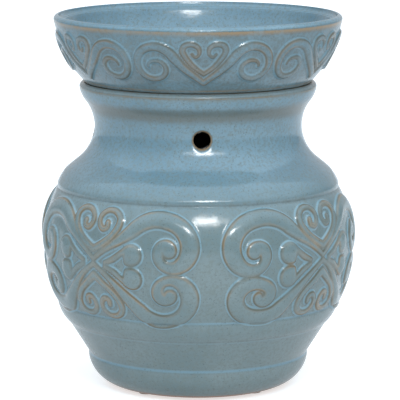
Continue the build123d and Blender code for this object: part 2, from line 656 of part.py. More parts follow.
def holder_centre_contact():
    """Contact leaf folded back on itself under the bulb's tip."""
    half = LEAF_THICKNESS / 2
    low = socket_z + half
    high = contact_z - half
    bend = (high - low) / 2
    path = Line((-LEAF_SPAN, low), (LEAF_SPAN - bend, low))
    path += ThreePointArc((LEAF_SPAN - bend, low), (LEAF_SPAN, low + bend), (LEAF_SPAN - bend, high))
    path += Line((LEAF_SPAN - bend, high), (-LEAF_SPAN, high))
    return extrude(Plane.XZ * trace(path, LEAF_THICKNESS), LEAF_WIDTH / 2, both=True)


def bulb_contact_tip():
    """Flat solder tip on the leaf."""
    return Pos(0, 0, contact_z) * Cylinder(TIP_R, TIP_HEIGHT, align=(Align.CENTER, Align.CENTER, Align.MIN))


def bulb_cap_insulator():
    """Dark glass cone between the tip and the cap, with a disc that sits on the cap's lip."""
    low = contact_z + TIP_HEIGHT
    lip_top = cap_z + CAP_SHEET
    lip_r = CAP_R - CAP_LIP
    disc_r = CAP_R - CAP_SHEET - PIN_CLEARANCE
    points = [
        (0, low),
        (INSULATOR_R, low),
        (lip_r - PIN_CLEARANCE, lip_top),
        (disc_r, lip_top),
        (disc_r, lip_top + INSULATOR_DISC),
        (0, lip_top + INSULATOR_DISC),
    ]
    return turned(Polyline(*points, close=True).edges())


def bulb_screw_cap():
    """Thin cap with an inward lip at its foot."""
    wall = ring(CAP_R, CAP_R - CAP_SHEET, cap_z, CAP_HEIGHT)
    return wall + ring(CAP_R, CAP_R - CAP_LIP, cap_z, CAP_SHEET)


glass_neck_r = CAP_R - CAP_SHEET - GLASS_FIT
glass_low_z = cap_top_z - GLASS_INSERT
glass_flare_z = cap_top_z + NECK_ABOVE_CAP
globe_z = glass_flare_z + math.sqrt((GLOBE_R + GLASS_FLARE_R) ** 2 - (glass_neck_r + GLASS_FLARE_R) ** 2)


def glass_curve(inset):
    """Edges of the envelope from its crown down to the end of its neck."""
    globe = (0, globe_z)
    flare = (glass_neck_r + GLASS_FLARE_R, glass_flare_z)
    angle = math.degrees(math.atan2(flare[1] - globe[1], flare[0] - globe[0]))
    radius = GLOBE_R - inset
    bend = GLASS_FLARE_R + inset
    meet = polar(globe, radius, angle)
    neck = (glass_neck_r - inset, glass_flare_z)
    return [
        ThreePointArc((0, globe_z + radius), polar(globe, radius, (angle + 90.0) / 2), meet),
        ThreePointArc(meet, polar(flare, bend, 180.0 + angle / 2), neck),
        Line(neck, (neck[0], glass_low_z)),
    ]


def bulb_glass():
    """Hollow globe with a neck that stands in the cap."""
    outer = glass_curve(0.0)
    inner = glass_curve(GLASS_THICKNESS)
    end = Line((glass_neck_r, glass_low_z), (glass_neck_r - GLASS_THICKNESS, glass_low_z))
    crown = Line((0, globe_z + GLOBE_R), (0, globe_z + GLOBE_R - GLASS_THICKNESS))
    return turned(outer + inner + [end, crown])


stem_z = glass_low_z - STEM_FLANGE
stem_top_z = glass_low_z + STEM_HEIGHT


def bulb_stem():
    """Glass mount: a flange under the neck and a rod that carries the wires."""
    flange = ring(glass_neck_r, 0.5 * STEM_R, stem_z, STEM_FLANGE)
    bottom = (Align.CENTER, Align.CENTER, Align.MIN)
    rod = Pos(0, 0, glass_low_z) * Cylinder(STEM_R, STEM_HEIGHT, align=bottom)
    return flange + rod


def bulb_lead_wires():
    """Two wires that lean outwards from the top of the stem."""
    wires = []
    for side in (-1, 1):
        foot = Vector(side * WIRE_PITCH, 0, stem_top_z)
        bend = Vector(side * WIRE_SPREAD, 0, stem_top_z + WIRE_RISE - WIRE_R * 4)
        head = Vector(side * WIRE_SPREAD, 0, stem_top_z + WIRE_RISE)
        lean = FilletPolyline(foot, foot + Vector(0, 0, WIRE_R * 4), bend, head, radius=WIRE_R * 3)
        wires.append(sweep(Plane(foot, z_dir=(0, 0, 1)) * Circle(WIRE_R), path=lean))
    return wires


def bulb_filament():
    """Filament that bows upwards between the two wires."""
    height = stem_top_z + WIRE_RISE - 2 * WIRE_R
    reach = WIRE_SPREAD - WIRE_R - FILAMENT_R
    arc = ThreePointArc((-reach, 0, height), (0, 0, height + FILAMENT_SAG), (reach, 0, height))
    return sweep(Plane(arc @ 0, z_dir=arc % 0) * Circle(FILAMENT_R), path=arc)


def cord_grommet():
    """Soft bush with a flange on each side of the wall."""
    plane = grommet_plane()
    grip = grommet_grip(plane)
    seat = -GROMMET_SPOT_DEPTH
    bottom = (Align.CENTER, Align.CENTER, Align.MIN)
    outer = Pos(0, 0, seat) * Cylinder(GROMMET_FLANGE_R, GROMMET_FLANGE, align=bottom)
    outer = fillet(outer.edges().group_by(Axis.Z)[-1], GROMMET_FLANGE / 2)
    neck = Pos(0, 0, seat - grip) * Cylinder(GROMMET_NECK_R, grip, align=bottom)
    inner_end = seat - grip - GROMMET_FLANGE
    inner = Pos(0, 0, inner_end) * Cylinder(GROMMET_FLANGE_R, GROMMET_FLANGE, align=bottom)
    inner = fillet(inner.edges().group_by(Axis.Z)[0], GROMMET_FLANGE / 2)
    bore = Cylinder(GROMMET_BORE_R, 4 * (grip + GROMMET_FLANGE))
    return plane * (outer + neck + inner - bore)


def foot_pads():
    """Soft pads stuck on the flat of the foot ring."""
    place = FOOT_R - FOOT_RING_WIDTH / 2
    pad = Pos(place, 0, 0) * Cylinder(PAD_R, PAD_HEIGHT, align=(Align.CENTER, Align.CENTER, Align.MIN))
    return around(pad, PAD_COUNT, 45.0)


MAKERS = [
    warmer_body, melt_dish, cushion_washers, steel_washers, lock_nuts, threaded_nipple, holder_bracket,
    holder_rivets, holder_body, holder_terminal_screws, holder_screw_shell, holder_centre_contact,
    bulb_contact_tip, bulb_cap_insulator, bulb_screw_cap, bulb_glass, bulb_stem, bulb_lead_wires,
    bulb_filament, cord_grommet, foot_pads,
]

os.makedirs("parts", exist_ok=True)
for maker in MAKERS:
    shape = maker()
    if isinstance(shape, list):
        shape = Compound(children=shape)
    export_step(shape, f"parts/{maker.__name__}.step")
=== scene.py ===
"""Looks of the ceramic wax melt warmer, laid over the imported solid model.

The shapes and the camera are in millimetres, and the floor, the lights and the glaze's heights in metres.
"""
import bpy
import bmesh
import json
import math
import numpy as np
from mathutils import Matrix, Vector


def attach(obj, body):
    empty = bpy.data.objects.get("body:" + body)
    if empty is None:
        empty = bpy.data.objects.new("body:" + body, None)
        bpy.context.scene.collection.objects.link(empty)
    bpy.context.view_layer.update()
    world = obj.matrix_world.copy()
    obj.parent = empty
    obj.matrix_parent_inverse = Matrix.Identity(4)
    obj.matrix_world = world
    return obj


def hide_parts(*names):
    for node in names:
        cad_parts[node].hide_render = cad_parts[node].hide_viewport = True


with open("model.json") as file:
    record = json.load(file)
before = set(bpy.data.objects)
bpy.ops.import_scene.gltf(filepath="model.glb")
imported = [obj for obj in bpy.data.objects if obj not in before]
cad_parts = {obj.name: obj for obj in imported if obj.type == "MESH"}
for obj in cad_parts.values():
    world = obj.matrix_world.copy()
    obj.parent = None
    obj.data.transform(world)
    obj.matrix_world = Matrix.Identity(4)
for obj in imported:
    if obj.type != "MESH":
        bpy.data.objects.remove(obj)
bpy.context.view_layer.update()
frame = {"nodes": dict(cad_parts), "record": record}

MM = 0.001

# Camera, fitted to the outlines of the body and the dish
CAMERA_DISTANCE = 1217.3
CAMERA_HEIGHT = 280.3
CAMERA_PITCH = 9.192
CAMERA_YAW = 2.2
CAMERA_LENS = 245.89
CAMERA_SENSOR = 36.0
CAMERA_SHIFT = 0.005
CAMERA_CLIP = 50.0

# Surroundings: a white sweep behind and above, and a room in front that grows brighter and bluer upwards
SWEEP_TOWARDS = (0.0, 0.835, 0.55)
SWEEP_EDGE = (0.63, 0.69)
SWEEP_LIGHT = (0.6, 0.61, 0.63, 1.0)
ROOM_LOW = (0.25, 0.28, 0.3, 1.0)
ROOM_HIGH = (1.6, 1.95, 2.25, 1.0)
ROOM_RISE = (0.1, 0.85)
WHITE = (1.0, 1.0, 1.0, 1.0)

# Floor: white paper that glows for the camera and bounces less light onto the object
FLOOR_HALF = 4.0
FLOOR_TONES = ((0.56, 0.56, 0.56, 1.0), (0.6, 0.6, 0.6, 1.0))
FLOOR_FLECK = 30.0
FLOOR_ROUGH = 0.8
FLOOR_GLOW = 0.65
FLOOR_BOUNCE = 0.27

# Lights: azimuth from the front to the right, elevation, distance, width, height, power
KEY_BOX = (4.5, 33.0, 1.2, 0.3, 0.17, 3.2)
WINDOW_STRIP = (4.5, 33.0, 1.25, 0.9, 0.1, 1.6)
LIGHT_TARGET = (0.0, 0.0, 0.08)

# Meshes: points of a ring, steps between rows, and the turn of the outline that asks for one row more
FINE_COLUMNS = 600
PLAIN_COLUMNS = 300
INSIDE_COLUMNS = 150
RELIEF_STEP = 0.7
SAMPLE_STEP = 0.1
ROUND_OFF = 0.45
PLAIN_STEP = 2.5
INSIDE_STEP = 5.0
TURN_STEP = 13.0

# Ornament: its front gap is a little to the right of the vent
ORNAMENT_TURN = 2.0
DISH_TURN = 0.2
DISH_FLAT_R = 61.0
MEDALLION_PAIRS = 2
DISH_HEARTS = 6
RELIEF_RISE = 0.65
RELIEF_SLOPE = (-0.4, 0.7)
RELIEF_CROWN = 0.24
FAR_OUTSIDE = -3.0
OVERHANG_Z = 36.4
DISH_THIN = 0.52

# Outline of the body: radius, height, bulge of the arc to the next corner, and mark at the corner: a low mark
# paints dark grey, which is painted shade in the groove and at the foot of the moulding; a high one is brown
# glaze; a negative one is pale pooled glaze
BODY_LOWER = [
    (38.0, 0.8, 2.89, 0.0),
    (49.7, 14.2, 0.0, 0.0),
    (49.2, 15.0, 0.0, -1.0),
    (58.4, 29.6, 0.0, -0.6),
]
# The first mark paints shade in dark grey at the foot of the moulding.
BODY_LEDGE = [
    (59.1, 30.2, 0.75, 0.6),
    (63.5, 38.5, 0.0, 0.3),
    (62.9, 39.2, 1.62, -0.9),
]
BODY_BELLY = [
    (69.3, 67.8, 1.45, 0.0),
]
# The first three marks paint the shade the shoulder casts into the groove below it, in dark grey; the last
# two are brown glaze on the lip.
BODY_UPPER = [
    (63.58, 89.8, 0.0, 0.3),
    (62.89, 90.5, 0.0, 0.4),
    (63.3, 91.2, 0.2, 0.2),
    (62.55, 93.6, 0.2, 0.0),
    (59.39, 98.3, 0.0, 0.0),
    (54.29, 102.44, -2.03, 0.0),
    (46.6, 118.2, -1.03, 0.0),
    (50.61, 129.53, 0.46, 0.0),
    (53.2, 135.6, 0.59, 0.8),
    (51.2, 137.6, 0.0, 1.0),
]
BODY_INSIDE = [
    (46.2, 137.6, 0.0, 0.5),
    (46.2, 132.0, -1.18, 0.0),
    (41.6, 118.2, -2.53, 0.0),
    (51.21, 98.5, 0.0, 0.0),
    (59.21, 87.37, 1.29, 0.0),
    (64.3, 67.8, 1.5, 0.0),
    (58.38, 41.33, 0.0, 0.0),
    (43.29, 12.8, 0.0, -0.6),
]
BODY_UNDER = [
    (5.5, 12.8, 0.0, 0.0),
    (5.5, 7.8, 0.0, 0.0),
    (29.0, 7.8, 0.0, 0.0),
    (29.0, 0.8, 0.0, 0.0),
]

# Outline of the dish, in the same form
DISH_UNDER = [
    (0.0, 134.2, 0.0, 0.0),
    (37.2, 134.2, 0.0, 0.0),
    (37.2, 132.6, 0.0, 0.0),
    (43.2, 132.6, 0.0, 0.0),
    (44.2, 133.6, 0.0, 0.0),
    (44.2, 137.6, 0.0, 0.0),
    (50.4, 137.6, 0.35, 0.5),
]
DISH_SIDE = [
    (51.6, 138.8, 1.64, 0.3),
    (63.2, 160.2, 0.0, 0.0),
]
DISH_LIP = [
    (63.9, 163.0, 0.0, 0.0),
    (64.5, 165.3, 0.95, 1.0),
    (62.2, 167.6, 0.95, 0.0),
]
DISH_BOWL = [
    (59.9, 165.3, 2.2, 0.2),
    (45.0, 141.3, 0.36, 0.0),
    (40.0, 139.6, 0.0, -0.4),
    (0.0, 139.6, 0.0, 0.0),
]
MARK_WIDTH = 0.7

# Holes in the body: bearings from the front, and the block of the mesh that each one takes up
HOLE_TURN = 9.6
VENT_BEARINGS = (0.0, 90.0, 180.0, 270.0)
VENT_R = 3.75
VENT_Z = 116.8
VENT_ROUND = 1.3
VENT_BENDS = (25.0, 50.0, 75.0, 90.0)
VENT_EASE = (0.4, 0.8, 1.0)
VENT_ROOM = (6.5, 5.0)
CORD_BEARING = 180.0
GROMMET_POINT = (54.122, 22.8)
GROMMET_OUT = (0.845681, -0.533689)
GROMMET_HOLE_R = 5.0
GROMMET_SPOT_R = 7.2
GROMMET_SPOT = 0.7
GROMMET_GRIP = 3.52
GROMMET_WALL = 2 * GROMMET_SPOT + GROMMET_GRIP
GROMMET_ROOM = 6.4


def bow(start, end, bulge):
    """Points from one corner to the next along an arc that bulges away from the axis."""
    start = np.array(start)
    end = np.array(end)
    chord = end - start
    length = np.hypot(*chord)
    count = max(2, round(length / SAMPLE_STEP))
    t = np.linspace(0.0, 1.0, count + 1)[:, None]
    straight = start + chord * t
    if abs(bulge) < SAMPLE_STEP / 10:
        return straight
    away = np.array((chord[1], -chord[0])) / length * (1.0 if chord[1] >= 0 else -1.0)
    radius = (length ** 2 / 4 + bulge ** 2) / (2 * abs(bulge))
    middle = (start + end) / 2 + away * (bulge - math.copysign(radius, bulge))
    along = straight - middle
    return middle + along / np.linalg.norm(along, axis=1)[:, None] * radius


class Outline:
    """Dense outline with the corners rounded by the glaze, and the marks of its corners."""

    def __init__(self, corners, closed):
        count = len(corners)
        runs = count if closed else count - 1
        points = []
        self.corner = [0]
        for i in range(runs):
            here = corners[i]
            after = corners[(i + 1) % count]
            arc = bow(here[:2], after[:2], here[2])
            points.append(arc[:-1])
            self.corner.append(self.corner[-1] + len(arc) - 1)
        if not closed:
            points.append(np.array([corners[-1][:2]]))
        sharp = np.vstack(points)
        reach = round(3 * ROUND_OFF / SAMPLE_STEP)
        kernel = np.exp(-0.5 * (np.arange(-reach, reach + 1) * SAMPLE_STEP / ROUND_OFF) ** 2)
        kernel /= kernel.sum()
        padded = np.pad(sharp, ((reach, reach), (0, 0)), mode="wrap" if closed else "edge")
        self.points = np.column_stack([np.convolve(padded[:, k], kernel, "valid") for k in (0, 1)])
        steps = np.hypot(*np.diff(self.points, axis=0).T)
        self.length = np.concatenate([[0.0], np.cumsum(steps)])
        slopes = np.gradient(self.points, axis=0)
        bearing = np.unwrap(np.arctan2(slopes[:, 1], slopes[:, 0]))
        self.turning = np.degrees(np.abs(np.gradient(bearing))) / SAMPLE_STEP
        self.normal = np.column_stack([slopes[:, 1], -slopes[:, 0]])
        self.normal /= np.linalg.norm(self.normal, axis=1)[:, None]
        self.mark = np.zeros(len(self.points))
        total = self.length[-1]
        for i, corner in enumerate(corners):
            at = self.length[min(self.corner[i], len(self.length) - 1)]
            gap = np.abs(self.length - at)
            gap = np.minimum(gap, total - gap) if closed else gap
            self.mark += corner[3] * np.exp(-((gap / MARK_WIDTH) ** 2))

    def rows(self, first, last, step, turn=None):
        """Sample numbers of rows between two corners, closer together where the outline turns."""
        low = self.corner[first]
        high = min(self.corner[last], len(self.points) - 1)
        dense = np.full(high - low + 1, 1.0 / step)
        if turn:
            dense += self.turning[low:high + 1] / turn
        measure = np.concatenate([[0.0], np.cumsum((dense[1:] + dense[:-1]) / 2 * SAMPLE_STEP)])
        count = max(1, math.ceil(measure[-1]))
        wanted = np.linspace(0.0, measure[-1], count + 1)
        return low + np.interp(wanted, measure, np.arange(len(measure)))

    def at(self, rows, what):
        """Values of the outline at fractional sample numbers."""
        numbers = np.arange(len(self.points))
        if what.ndim == 1:
            return np.interp(rows, numbers, what)
        return np.column_stack([np.interp(rows, numbers, what[:, k]) for k in range(what.shape[1])])

    def radius_at(self, first, last, height):
        """Radius of the outline between two corners at a height."""
        part = self.points[self.corner[first]:self.corner[last] + 1]
        order = np.argsort(part[:, 1])
        return np.interp(height, part[order, 1], part[order, 0])


# Ornament: each line is a row of (along, up, half width), drawn about the middle of its medallion
ALONG_PER_DEGREE = 1.204
MEDALLION_Z = 64.3
LEFT_MIDDLE = 0.5
RIGHT_MIDDLE = 2.4
STEM_TIP = 1.8
STEM_POINTS = 50
STEM_PULL = 0.42
COIL_POINTS = 130
LINE_POINTS = 70
LEFT_LOBE_STRETCH = -0.92
LEFT_LOBE_SHIFT = 0.6


def smooth(values, t):
    """Catmull-Rom curve through evenly spaced values."""
    values = np.asarray(values, float)
    ends = np.concatenate([[2 * values[0] - values[1]], values, [2 * values[-1] - values[-2]]])
    i = np.minimum(t.astype(int), len(values) - 2)
    f = (t - i).reshape((-1,) + (1,) * (values.ndim - 1))
    a, b, c, d = ends[i], ends[i + 1], ends[i + 2], ends[i + 3]
    bend = a - 2.5 * b + 2 * c - d / 2
    twist = 1.5 * (b - c) + (d - a) / 2
    return b + f * (c - a) / 2 + f ** 2 * bend + f ** 3 * twist


def scroll(tip, tip_width, heading, eye, first, hand, radii, widths):
    """A stem that leaves tip at a heading and runs into a coil round eye, with a radius per quarter turn."""
    t = np.linspace(0.0, len(radii) - 1.0, COIL_POINTS)
    opening = 90.0 - first % 90.0 if hand > 0 else first % 90.0
    opening = opening or 90.0
    stops = [first] + [first + hand * (opening + 90.0 * i) for i in range(len(radii) - 1)]
    angle = np.radians(np.interp(t, np.arange(len(radii)), stops))
    radius = np.exp(smooth(np.log(radii), t))
    x = eye[0] + radius * np.cos(angle)
    y = eye[1] + radius * np.sin(angle)
    coil = np.column_stack([x, y, smooth(widths, t)])
    start = np.array(tip)
    end = coil[0, :2]
    arriving = coil[1, :2] - end
    pull = STEM_PULL * np.linalg.norm(end - start)
    leaving = math.radians(heading)
    out = start + pull * np.array((math.cos(leaving), math.sin(leaving)))
    back = end - pull * arriving / np.linalg.norm(arriving)
    s = np.linspace(0.0, 1.0, STEM_POINTS)[:, None]
    path = (1 - s) ** 3 * start + 3 * (1 - s) ** 2 * s * out + 3 * (1 - s) * s ** 2 * back + s ** 3 * end
    stem = np.column_stack([path, tip_width + (widths[0] - tip_width) * s[:, 0] ** 2])
    return np.vstack([stem[:-1], coil])


def line(*stations):
    """A smooth line through stations of (along, up, half width)."""
    return smooth(stations, np.linspace(0.0, len(stations) - 1.0, LINE_POINTS))


def flip(stroke, along=1.0, up=1.0, shift=0.0):
    """A stroke mirrored or stretched along and up, then shifted along."""
    return stroke * (along, up, 1.0) + (shift, 0.0, 0.0)


def medallion(middle):
    """The strokes of one medallion: two large hearts on their sides, a small one in each, and two upright."""
    above = (middle, 2.0)
    below = (middle, -0.2)
    right_up = scroll(above, STEM_TIP, 40, (35.8, 7.8), 150, -1,
                      (17.2, 12.2, 9.75, 7.05, 3.4, 2.0, 1.0), (3.9, 4.1, 4.65, 3.05, 3.2, 3.3, 3.9))
    right_low = scroll(below, STEM_TIP, -32, (35.8, -11.8), -150, 1,
                       (15.5, 11.75, 9.65, 6.7, 4.0, 1.6, 1.2), (4.3, 3.55, 4.55, 2.8, 3.5, 3.2, 3.6))
    left_up = scroll(above, STEM_TIP, 140, (-33.1, 7.0), 30, 1,
                     (18.6, 13.35, 11.6, 7.6, 3.1, 1.8, 1.8), (3.95, 4.05, 4.7, 3.1, 3.4, 3.2, 3.9))
    left_low = scroll(below, STEM_TIP, 212, (-31.3, -13.0), -30, -1,
                      (12.6, 9.4, 11.2, 5.8, 4.6, 1.8, 0.9), (4.4, 4.1, 4.5, 3.4, 3.6, 3.0, 2.7))
    lobe = line((6.6, 0.9, 1.5), (11.0, 2.8, 1.95), (15.4, 5.9, 1.9), (18.6, 6.6, 3.4), (20.3, 5.0, 4.9),
                (18.0, 2.25, 2.3))
    strokes = [right_up, right_low, left_up, left_low]
    for up, tip in ((1.0, (0.0, 6.3, 2.2)), (-1.0, (0.0, 5.1, 2.5))):
        curl = line(tip, (4.8, 9.0, 2.2), (9.4, 12.6, 2.2), (12.4, 17.0, 2.3), (12.2, 20.6, 2.1),
                    (9.2, 22.8, 1.8), (5.2, 22.8, 1.7), (2.3, 20.6, 1.8), (2.0, 17.4, 1.8),
                    (4.0, 15.2, 1.8), (6.4, 15.9, 1.8), (6.4, 17.8, 1.9))
        strokes += [flip(lobe, up=up), flip(lobe, LEFT_LOBE_STRETCH, up, LEFT_LOBE_SHIFT)]
        strokes += [flip(curl, up=up, shift=middle), flip(curl, along=-1.0, up=up, shift=middle)]
    return strokes


def medallion_pair():
    """The strokes of the two medallions on either side of a gap, whose middles lean to the right."""
    apart = 90.0 / MEDALLION_PAIRS * ALONG_PER_DEGREE
    left = [flip(stroke, shift=-apart) for stroke in medallion(LEFT_MIDDLE)]
    right = [flip(stroke, shift=apart) for stroke in medallion(RIGHT_MIDDLE)]
    return left + right


def inside(strokes, along, up):
    """How far inside the nearest stroke each point lies, negative outside, and the stroke's width there."""
    best = np.full(along.shape, FAR_OUTSIDE)
    wide = np.ones(along.shape)
    for stroke in strokes:
        near = np.ones(along.shape, bool)
        for value, k in ((along, 0), (up, 1)):
            near &= value > (stroke[:, k] - stroke[:, 2]).min() + FAR_OUTSIDE
            near &= value < (stroke[:, k] + stroke[:, 2]).max() - FAR_OUTSIDE
        depth = best[near]
        width = wide[near]
        for x, y, half in stroke:
            closer = half - np.hypot(along[near] - x, up[near] - y)
            width = np.where(closer > depth, half, width)
            depth = np.maximum(closer, depth)
        best[near] = depth
        wide[near] = width
    return best, wide


def relief_height(depth, width):
    """Height of the relief: a step at the edge of a stroke and a rounded crown that grows with its width."""
    low, high = RELIEF_SLOPE
    t = np.clip((depth - low) / (high - low), 0.0, 1.0)
    crown = 1.0 - (1.0 - np.clip(depth / width, 0.0, 1.0)) ** 2
    return RELIEF_RISE * t * t * (3 - 2 * t) + RELIEF_CROWN * width * crown


class Skin:
    """Points and faces of a mesh, with the relief depth and the mark of each point, which sets its brown
    glaze, pooled glaze and painted shade.
    """

    def __init__(self):
        self.points = []
        self.marks = []
        self.faces = []
        self.count = 0

    def add(self, points, relief, mark):
        """Adds points and returns their numbers."""
        points = np.asarray(points, float)
        ones = np.ones(len(points))
        self.points.append(points)
        self.marks.append(np.column_stack([relief * ones, mark * ones]))
        numbers = np.arange(self.count, self.count + len(points))
        self.count += len(points)
        return numbers

    def join(self, a, b, skip=()):
        """Faces between two rings, where one may have twice the points of the other, or be a single point."""
        if len(b) == 1 or len(a) == 1:
            hub, rim = (b[0], a) if len(b) == 1 else (a[0], b)
            self.faces += [(hub, p, q) for p, q in zip(rim, np.roll(rim, -1))]
        elif len(a) == len(b):
            quads = np.column_stack([a, np.roll(a, -1), np.roll(b, -1), b])
            self.faces += [tuple(q) for i, q in enumerate(quads) if i not in skip]
        else:
            fine, plain = (a, b) if len(a) > len(b) else (b, a)
            start, middle, end = fine[::2], fine[1::2], np.roll(fine[::2], -1)
            after = np.roll(plain, -1)
            for s, m, e, p, q in zip(start, middle, end, plain, after):
                self.faces += [(s, m, p), (m, q, p), (m, e, q)]

    def zip_loops(self, a, angle_a, b, angle_b):
        """Triangles between two loops of different counts, matched by their angles about the same axis."""
        order_a = np.argsort(angle_a)
        order_b = np.argsort(angle_b)
        a, angle_a = a[order_a], angle_a[order_a]
        b, angle_b = b[order_b], angle_b[order_b]
        i = j = 0
        while i < len(a) or j < len(b):
            next_a = angle_a[i + 1] if i + 1 < len(a) else angle_a[0] + 2 * math.pi
            next_b = angle_b[j + 1] if j + 1 < len(b) else angle_b[0] + 2 * math.pi
            here_a, here_b = a[i % len(a)], b[j % len(b)]
            if j >= len(b) or (i < len(a) and next_a <= next_b):
                self.faces.append((here_a, a[(i + 1) % len(a)], here_b))
                i += 1
            else:
                self.faces.append((here_a, b[(j + 1) % len(b)], here_b))
                j += 1

    def piece(self, name, material):
        """Makes the mesh object."""
        mesh = bpy.data.meshes.new(name)
        mesh.from_pydata(np.vstack(self.points) * MM, [], self.faces)
        marks = np.vstack(self.marks)
        for k, label in enumerate(("relief", "mark")):
            mesh.attributes.new(label, "FLOAT", "POINT").data.foreach_set("value", marks[:, k])
        work = bmesh.new()
        work.from_mesh(mesh)
        bmesh.ops.recalc_face_normals(work, faces=work.faces)
        work.to_mesh(mesh)
        work.free()
        mesh.polygons.foreach_set("use_smooth", np.ones(len(mesh.polygons), bool))
        mesh.materials.append(material)
        obj = bpy.data.objects.new(name, mesh)
        bpy.context.collection.objects.link(obj)
        return obj


def columns(count):
    """Angles of a ring's points: 0 is the front and they grow to the right."""
    return np.radians(ORNAMENT_TURN + 360.0 / count * np.arange(count))


def ring(radius, height, angle):
    """Points about the axis."""
    ones = np.ones(len(angle))
    return np.column_stack([radius * np.sin(angle), -radius * np.cos(angle), height * ones])


def plain_ring(skin, outline, row, count=PLAIN_COLUMNS):
    """One ring with no relief."""
    radius, height = outline.at(np.array([row]), outline.points)[0]
    mark = outline.at(np.array([row]), outline.mark)[0]
    if radius < SAMPLE_STEP:
        return skin.add([(0.0, 0.0, height)], FAR_OUTSIDE, mark)
    return skin.add(ring(radius, height, columns(count)), FAR_OUTSIDE, mark)


def pattern(copies, turn):
    """Degrees from each fine column to the middle of the nearest copy of an ornament."""
    spread = 360.0 / copies
    return np.mod(np.degrees(columns(FINE_COLUMNS)) - turn + spread / 2, spread) - spread / 2


def relief_rings(skin, outline, rows, depths, heights, thin=0.0):
    """Rings of the embossed band, lifted along the outline's normal; thin adds to the mark of each point."""
    spots = outline.at(rows, outline.points)
    lifts = outline.at(rows, outline.normal)
    marks = outline.at(rows, outline.mark) + thin
    rings = []
    angle = columns(FINE_COLUMNS)
    for spot, lift, mark, depth, height in zip(spots, lifts, marks, depths, heights):
        radius = spot[0] + lift[0] * height
        up = spot[1] + lift[1] * height
        points = np.column_stack([radius * np.sin(angle), -radius * np.cos(angle), up])
        rings.append(skin.add(points, depth, mark))
    return rings


def block_columns(count, turn):
    """First and last column of a block round a hole."""
    middle = round((turn - ORNAMENT_TURN) * count / 360.0)
    half = round(HOLE_TURN * count / 360.0)
    return middle - half, middle + half


def block_loop(rings, low, high, turn):
    """Point numbers round a block of columns and rows, in the order of the loop."""
    count = len(rings[low])
    left, right = block_columns(count, turn)
    loop = [rings[low][c % count] for c in range(left, right)]
    loop += [rings[i][right % count] for i in range(low, high)]
    loop += [rings[high][c % count] for c in range(right, left, -1)]
    loop += [rings[i][left % count] for i in range(high, low, -1)]
    return np.array(loop)


def rows_round(rings, points, first, last, low, high):
    """Ring numbers just outside a range of heights, among the rings from first to last."""
    heights = [points[rings[i][0]][2] for i in range(first, last)]
    order = np.argsort(heights)
    heights = np.array(heights)[order]
    below = order[np.searchsorted(heights, low) - 1] + first
    above = order[np.searchsorted(heights, high)] + first
    return min(below, above), max(below, above)


def turn_about_axis(points, turn):
    """Points turned about the axis, to the right as seen from the front."""
    c, s = math.cos(turn), math.sin(turn)
    x, y = points[:, 0], points[:, 1]
    return np.column_stack([c * x - s * y, s * x + c * y, points[:, 2]])


def on_wall(x, z, radius_of):
    """Points at the front of a wall of revolution, by their sideways place and height."""
    return np.column_stack([x, -np.sqrt(radius_of(z) ** 2 - x ** 2), z])


def cut_vent(skin, points, outer, inner, bearing, outer_neck, inner_neck):
    """A vent from its open block outside, over a rounded edge, to its open block inside."""
    turn = math.radians(bearing)
    front = turn_about_axis(points[outer], -turn)
    angle = np.arctan2(front[:, 2] - VENT_Z, front[:, 0])
    circle = np.column_stack([np.cos(angle), np.sin(angle)])
    block = front[:, [0, 2]] - (0.0, VENT_Z)
    loops = [outer]

    def add_loop(flat, wall, sunk, mark):
        spot = on_wall(flat[:, 0], flat[:, 1] + VENT_Z, wall)
        spot[:, 1] += sunk
        loops.append(skin.add(turn_about_axis(spot, turn), FAR_OUTSIDE, mark))

    for part in VENT_EASE:
        add_loop((1 - part) * block + part * (VENT_R + VENT_ROUND) * circle, outer_neck, 0.0, 0.0)
    for bend in np.radians(VENT_BENDS):
        radius = VENT_R + VENT_ROUND * (1 - math.sin(bend))
        sunk = VENT_ROUND * (1 - math.cos(bend))
        add_loop(radius * circle, outer_neck, sunk, math.sqrt(math.sin(bend)))
    add_loop(VENT_R * circle, inner_neck, 0.0, 0.0)
    for a, b in zip(loops, loops[1:]):
        skin.join(a, b)
    back = turn_about_axis(points[inner], -turn)
    skin.zip_loops(loops[-1], angle, inner, np.arctan2(back[:, 2] - VENT_Z, back[:, 0]))


def cut_cord_hole(skin, points, outer, inner):
    """The cord hole, square to the wall, with a spot face for the grommet on each side."""
    out_y, out_z = GROMMET_OUT
    across = np.array((1.0, 0.0, 0.0))
    slope = np.array((0.0, -out_z, out_y))
    outward = np.array((0.0, out_y, out_z))
    origin = np.array((0.0, *GROMMET_POINT))

    def angles(numbers, start):
        away = points[numbers] - start
        return np.arctan2(away @ slope, away @ across)

    grip_end = GROMMET_SPOT + GROMMET_GRIP
    steps = [
        (GROMMET_SPOT_R, 0.0), (GROMMET_SPOT_R, GROMMET_SPOT), (GROMMET_HOLE_R, GROMMET_SPOT),
        (GROMMET_HOLE_R, grip_end), (GROMMET_SPOT_R, grip_end), (GROMMET_SPOT_R, GROMMET_WALL),
    ]
    angle = angles(outer, origin)
    loops = [outer]
    for radius, sunk in steps:
        x = radius * np.cos(angle)
        on_skin = sunk in (0.0, GROMMET_WALL)
        fall = x ** 2 / (2 * GROMMET_POINT[0]) * out_y if on_skin else 0.0 * x
        spot = origin - outward * sunk + radius * np.outer(np.sin(angle), slope)
        spot = spot + np.outer(x, across) - np.outer(fall, outward)
        loops.append(skin.add(spot, FAR_OUTSIDE, 0.0))
    for a, b in zip(loops, loops[1:]):
        skin.join(a, b)
    skin.zip_loops(loops[-1], angle, inner, angles(inner, origin - outward * GROMMET_WALL))


